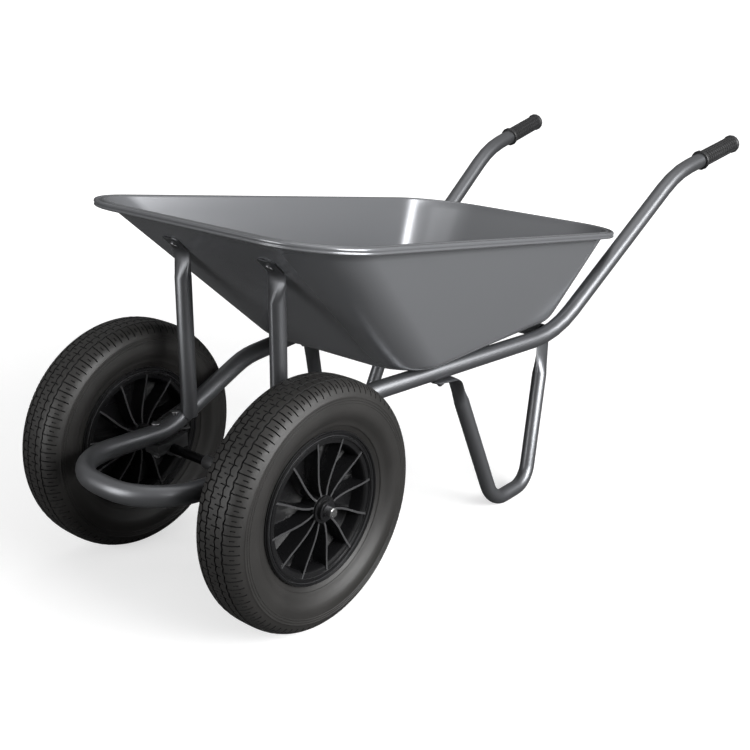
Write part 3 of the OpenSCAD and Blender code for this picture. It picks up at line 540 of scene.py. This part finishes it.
def moulded(name, colour, rough, grain, depth, sheen=0.5):
    """Moulded rubber or plastic whose grain has the given scale and depth."""
    look, shader = fresh_material(name)
    tree = look.node_tree
    skin = shader_node(tree, "ShaderNodeGroup", {"Color": (*colour, 1), "Roughness": rough, "Grain": grain},
                       node_tree=moulded_skin)
    bump = shader_node(tree, "ShaderNodeBump", {
        "Strength": GRAIN_STRENGTH, "Distance": depth, "Height": skin.outputs["Height"]})
    feed(tree, shader, {
        "Base Color": skin.outputs["Color"], "Roughness": skin.outputs["Roughness"],
        "Specular IOR Level": sheen, "Normal": bump.outputs["Normal"]})
    return look


def crown(s):
    """Radius of the tread in mm at s mm from the wheel's middle plane."""
    turn = math.acos((abs(s) / TYRE_HALF_W) ** (1 / FULLNESS))
    return SIDE_R + CROWN_H * math.sin(turn) ** FULLNESS


def on_crown(*places):
    """Points on the tread at these places from the middle plane."""
    return [(s, crown(s)) for s in places]


def groove(outer, inner):
    """Four points down one side of a groove in the tread, along its floor and up again."""
    return [(outer, crown(outer)), (outer - GROOVE_LEAN, crown(outer) - GROOVE_DEEP),
            (inner + GROOVE_LEAN, crown(inner) - GROOVE_DEEP), (inner, crown(inner))]


def between(value, band):
    """Whether a value lies inside a band."""
    return band[0] < value < band[1]


# Half of the outside, in mm from the middle plane and from the axle: bead, wall with its rings, tread
tyre_half = [(25.4, 104), (25.4, 119), (29.5, 125), (33.0, 130.2), (33.9, 130.4), (34.9, 131.6), (35.4, 134),
             (40.2, 141), (44.2, 146.6), (46.4, 152), (46.9, 158), (46.6, 164)]
for ring_r in RINGS:
    out = 46.4 - (ring_r - RINGS[0]) * RING_DRAFT
    tyre_half += [(out, ring_r), (out + 0.4, ring_r + 0.5), (out + 0.3, ring_r + 1.5),
                  (out - 0.3, ring_r + 2)]
tyre_half += [(44.4, 179.4)] + on_crown(42.8, 41.2, 38.5, 35.5, 32.5, 30.0, 26.8)
tyre_half += groove(*OUTER_GROOVE) + on_crown(17.4, 14.2) + groove(*INNER_GROOVE) + on_crown(4.0)
# Half of the hollow that the inner tube fills
hollow_half = [(18.4, 104), (18.4, 119), (22.5, 128.5), (39.6, 152), (38.2, 170.5), (33.6, 180.5),
               (25.7, 188), (13.4, 192.3)]


def tread_ring(hand, side):
    """One tyre: a single pitch of its tread swung into shape, then repeated round the axle."""
    middle = Vector((AXLE_X, side * WHEEL_Y, AXLE_Z))

    def on_wheel(point):
        """A point's distance from the middle plane and from the axle in mm, and its place in the pitch."""
        at = point - middle
        return at.y * MM, math.hypot(at.x, at.z) * MM, math.atan2(at.z, at.x) / PITCH

    ring = bmesh.new()
    section = tyre_half + on_crown(0) + [(-s, r) for s, r in reversed(tyre_half)]
    section += [(-s, r) for s, r in hollow_half] + [(s, r) for s, r in reversed(hollow_half)]
    outline = [ring.verts.new(middle + Vector((r / MM, s / MM, 0))) for s, r in section]
    edges = [ring.edges.new((a, b)) for a, b in zip(outline, outline[1:] + outline[:1])]
    last = outline + edges
    stops = (0.0, *NOTCH, 0.5, *SLIT, 1.0)
    for low, high in zip(stops, stops[1:]):
        made = bmesh.ops.spin(ring, geom=last, cent=middle, axis=(0, 1, 0), angle=(low - high) * PITCH,
                              steps=1)
        last = made["geom_last"]
    # The grooves zigzag once in each pitch.
    for v in ring.verts:
        s, r, turn = on_wheel(v.co)
        in_groove = any(inner - GROOVE_LEAN < abs(s) < outer + GROOVE_LEAN
                        for outer, inner in (OUTER_GROOVE, INNER_GROOVE))
        if r > TREAD_R and in_groove:
            v.co.y += ZIGZAG * (between(turn, SWING_OUT) - between(turn, SWING_IN))
    # Shoulder notches and slits across the ribs are pressed in along narrow strips; their floors and walls
    # take the near-black rubber as painted shade.
    deep, shallow = [], []
    for face in ring.faces:
        s, r, turn = on_wheel(face.calc_center_median())
        notch, slit = between(turn, NOTCH), between(turn, SLIT)
        if r > SHOULDER_R and notch and between(abs(s), SHOULDER_CUT):
            deep.append(face)
        elif r > TREAD_R and slit and any(between(abs(s), rib) for rib in RIB_CUTS):
            shallow.append(face)
        elif r > CROWN_R and (notch and (between(s, RIGHT_CUT) or between(abs(s), EDGE_CUT))
                              or slit and between(s, LEFT_CUT)):
            shallow.append(face)
        # Groove faces sunk more than GROOVE_SEEN under the crown take the near-black rubber as painted shade.
        if TREAD_R < r < crown(min(abs(s), TYRE_HALF_W - 1)) - GROOVE_SEEN and abs(s) < GROOVED_HALF:
            face.material_index = 1
    bmesh.ops.recalc_face_normals(ring, faces=ring.faces)
    for strip, sink in ((deep, NOTCH_DEEP), (shallow, SLIT_DEEP)):
        walls = bmesh.ops.inset_region(ring, faces=strip, thickness=CUT_LEAN, depth=-sink,
                                       use_even_offset=True)
        for face in strip + walls["faces"]:
            face.material_index = 1
    bmesh.ops.spin(ring, geom=ring.verts[:] + ring.edges[:] + ring.faces[:], cent=middle, axis=(0, 1, 0),
                   angle=-math.tau + PITCH, steps=PITCHES - 1, use_duplicate=True)
    bmesh.ops.remove_doubles(ring, verts=ring.verts, dist=WELD)
    bmesh.ops.recalc_face_normals(ring, faces=ring.faces)
    place_piece(ring, hand + "_tread_tyre", [tyre_rubber, recess_shade_rubber], hand + "_tyre", TYRE_CREASE)


tyre_rubber = moulded("tyre_rubber", (0.0205, 0.0196, 0.0186), 0.5, 900.0, 0.0003, 0.42)
# A near-black, rougher rubber for the floors of grooves, cuts and grip gaps: its darkness is painted shade in
# the recesses.
recess_shade_rubber = moulded("recess_shade_rubber", (0.005, 0.005, 0.005), 0.75, 900.0, 0.0003)
tread_ring("left", 1)
tread_ring("right", -1)

# Inside each tyre sits a soft black rubber tube, blown up against the tyre and the rim, with its valve
# stem through the rim.
tube_rubber = moulded("tube_rubber", (0.016, 0.016, 0.016), 0.55, 500.0, 0.0003)
for hand in ("left", "right"):
    welded_skin(hand + "_inner_tube", tube_rubber, EDGE_CREASE)

# The rims are moulded in glossy black plastic in one piece with the hub: a web with a row of thin curved
# blades on each side, whose outward edges carry a pale painted highlight.
RIM_ROUND = 0.0009
BLADE_EDGE = 0.030
EDGE_HIGHLIGHT_BAND = (0.0009, 0.0003)
EDGE_HIGHLIGHT_COLOUR = (0.048, 0.048, 0.05)

rim_plastic = moulded("rim_plastic", (0.006, 0.006, 0.0065), 0.27, 900.0, 0.0001, 0.5)
# How far a place is from the level of the blades' edges, on either side of either wheel
off_edge = along_axle(rim_plastic.node_tree, (
    ("ABSOLUTE", 0.0), ("SUBTRACT", WHEEL_Y), ("ABSOLUTE", 0.0), ("SUBTRACT", BLADE_EDGE), ("ABSOLUTE", 0.0)))
# Painted highlight: a paler colour laid along the blades' outward edges.
lay_over(rim_plastic, spread(rim_plastic.node_tree, off_edge, (0.0, 1.0), EDGE_HIGHLIGHT_BAND), EDGE_HIGHLIGHT_COLOUR)
for hand in ("left", "right"):
    welded_skin(hand + "_rim", rim_plastic, EDGE_CREASE, RIM_ROUND)

# Flanged bushes of hard plastic are pressed into both ends of each hub. They run on the still axle,
# between the spacer sleeve and the washer.
bush_plastic = moulded("bush_plastic", (0.018, 0.018, 0.019), 0.4, 900.0, 0.0002)
for hand in ("left", "right"):
    welded_skin(hand + "_bushes", bush_plastic, EDGE_CREASE)

# Grips of soft black rubber are pushed over the handle ends: a thick inner flange, a body covered with
# rows of small raised pads, and a rounded closed end.
GRIP_LEN = 0.140
GRIP_ROUND, GRIP_ROWS = 14, 15
# The handle's end, and a place further along it, in metres from the axle, the middle and the ground
HANDLE_END, HANDLE_MID = (-1.340, 0.256, 0.600), (-1.108, 0.237, 0.561)
BODY_R, BODY_FROM, BODY_LEN = 16.7, 8.4, 121
PAD_GAP, PAD_LEAN, PAD_HIGH = 0.0007, 0.0004, 0.0012
# Bore faces lie inside this radius, and the body's faces outside it
BORE_LIMIT = 0.016
GRIP_CREASE = 30
# Radius and distance from the flange's front in mm
grip_flange = [(16.05, 0), (18.6, 0), (20.5, 0.6), (21.3, 1.8), (21.5, 3.4), (21.3, 5.4), (20.4, 6.7),
               (18.6, 7.2), (BODY_R, BODY_FROM)]
grip_body = [(BODY_R, BODY_FROM + BODY_LEN * k / GRIP_ROWS) for k in range(1, GRIP_ROWS + 1)]
grip_end = [(18.4, 130.6), (19.5, 131.7), (19.95, 133.2), (19.95, 136.2), (19.3, 138.3), (17.6, 139.6),
            (14, 140), (0, 140)]
grip_bore = [(0, 136), (16.05, 136)]


def padded_grip(hand, side):
    """One grip: its outline spun round the handle, with each patch of the body raised."""
    tail, ahead = (Vector((AXLE_X + x, side * y, z)) for x, y, z in (HANDLE_END, HANDLE_MID))
    way = (ahead - tail).normalized()
    grip = bmesh.new()
    outline = grip_flange + grip_body + grip_end + grip_bore
    line = [grip.verts.new((r / MM, 0, GRIP_LEN - t / MM)) for r, t in outline]
    edges = [grip.edges.new((a, b)) for a, b in zip(line, line[1:] + line[:1])]
    bmesh.ops.spin(grip, geom=line + edges, cent=(0, 0, 0), axis=(0, 0, 1), angle=math.tau, steps=GRIP_ROUND,
                   use_merge=True)
    bmesh.ops.remove_doubles(grip, verts=grip.verts, dist=SLIVER)
    bmesh.ops.recalc_face_normals(grip, faces=grip.faces)
    body = []
    for face in grip.faces:
        at = face.calc_center_median()
        along = (GRIP_LEN - at.z) * MM
        if between(along, (BODY_FROM, BODY_FROM + BODY_LEN)) and math.hypot(at.x, at.y) > BORE_LIMIT:
            body.append(face)
    gaps = bmesh.ops.inset_individual(grip, faces=body, thickness=PAD_GAP, depth=0.0, use_even_offset=True)
    # The gaps round the pads take the near-black rubber as painted shade between them.
    for face in gaps["faces"]:
        face.material_index = 1
    bmesh.ops.inset_individual(grip, faces=body, thickness=PAD_LEAN, depth=PAD_HIGH, use_even_offset=True)
    grip.transform(Matrix.Translation(tail) @ way.to_track_quat("Z", "Y").to_matrix().to_4x4())
    place_piece(grip, hand + "_padded_grip", [grip_rubber, recess_shade_rubber], hand + "_grip",
                GRIP_CREASE)


grip_rubber = moulded("grip_rubber", (0.02, 0.02, 0.021), 0.5, 700.0, 0.0003)
padded_grip("left", 1)
padded_grip("right", -1)
